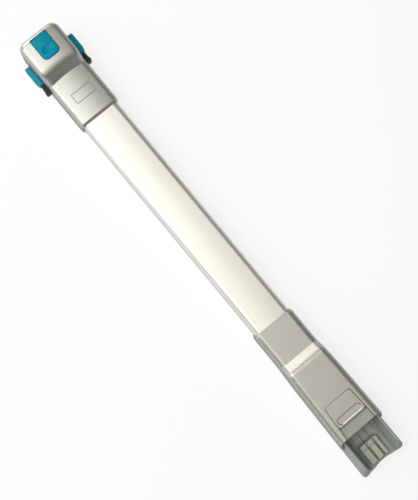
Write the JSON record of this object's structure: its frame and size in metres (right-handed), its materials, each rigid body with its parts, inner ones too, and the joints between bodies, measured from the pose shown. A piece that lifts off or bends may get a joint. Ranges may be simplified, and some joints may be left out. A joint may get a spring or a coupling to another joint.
{
  "type": "vacuum extension tube",
  "caption": "Flattened aluminium vacuum extension tube with moulded couplings: a sprung release button and side clips at the hand unit's end, a latch and contacts at the floor head's end.",
  "frame": {"origin": "middle of the tube's length and width, on the plane of the couplings' flat rear faces", "axes": "+X along the tube towards the floor head, +Y to the right seen from the front, +Z out of the front"},
  "size_m": [0.6274, 0.068, 0.0524],
  "materials": {
    "satin_aluminium": "satin anodised",
    "silver_paint": "silver paint on ABS, satin",
    "grey_plastic": "moulded ABS",
    "pale_plastic": "moulded ABS",
    "teal_plastic": "moulded ABS",
    "black_nylon": "glass-filled nylon",
    "seal_rubber": "soft black rubber",
    "contact_brass": "rolled brass",
    "spring_steel": "bright steel",
    "red_insulation": "PVC sleeve",
    "black_insulation": "PVC sleeve"
  },
  "bodies": {
    "wand": {"tube_extrusion": "satin_aluminium", "upper_front_shell": "silver_paint", "upper_rear_shell": "silver_paint", "lower_front_shell": "silver_paint", "lower_rear_shell": "silver_paint", "upper_socket_liner": "grey_plastic", "lower_neck": "grey_plastic", "upper_terminal_block": "pale_plastic", "lower_terminal_block": "pale_plastic", "right_clip_bracket": "black_nylon", "left_clip_bracket": "black_nylon", "right_clip_pin": "black_nylon", "left_clip_pin": "black_nylon", "upper_tube_gasket": "seal_rubber", "lower_tube_gasket": "seal_rubber", "upper_socket_seal": "seal_rubber", "upper_contact_blades": "contact_brass", "lower_contact_strips": "contact_brass", "upper_button_pin": "spring_steel", "lower_latch_pin": "spring_steel", "upper_button_spring": "spring_steel", "lower_latch_spring": "spring_steel", "right_clip_spring": "spring_steel", "left_clip_spring": "spring_steel", "upper_rear_screws": "spring_steel", "lower_rear_screws": "spring_steel", "positive_lead": "red_insulation", "negative_lead": "black_insulation"},
    "upper_button": {"upper_release_button": "teal_plastic"},
    "lower_button": {"lower_latch_lever": "grey_plastic", "lower_button_cap": "silver_paint"},
    "right_clip": {"right_clip_lever": "teal_plastic"},
    "left_clip": {"left_clip_lever": "teal_plastic"}
  },
  "joints": [
    {"name": "upper_button_press", "type": "hinge", "parent": "wand", "child": "upper_button", "pos_m": [-0.29525, 0, 0.0482], "axis": [0, 1, 0], "range_deg": [0, 9], "stiffness_Nm_per_rad": 0.4, "springref_deg": -5.73, "deforming": ["upper_button_spring"]},
    {"name": "lower_latch_press", "type": "hinge", "parent": "wand", "child": "lower_button", "pos_m": [0.20775, 0, 0.0428], "axis": [0, 1, 0], "range_deg": [0, 4], "stiffness_Nm_per_rad": 0.8, "springref_deg": -5.73, "deforming": ["lower_latch_spring"]},
    {"name": "right_clip_press", "type": "hinge", "parent": "wand", "child": "right_clip", "pos_m": [-0.26275, 0.02855, 0.0245], "axis": [0, 0, 1], "range_deg": [0, 2.6], "stiffness_Nm_per_rad": 0.5, "springref_deg": -5.73, "deforming": ["right_clip_spring"]},
    {"name": "left_clip_press", "type": "hinge", "parent": "wand", "child": "left_clip", "pos_m": [-0.26275, -0.02855, 0.0245], "axis": [0, 0, -1], "range_deg": [0, 2.6], "stiffness_Nm_per_rad": 0.5, "springref_deg": -5.73, "deforming": ["left_clip_spring"]}
  ]
}
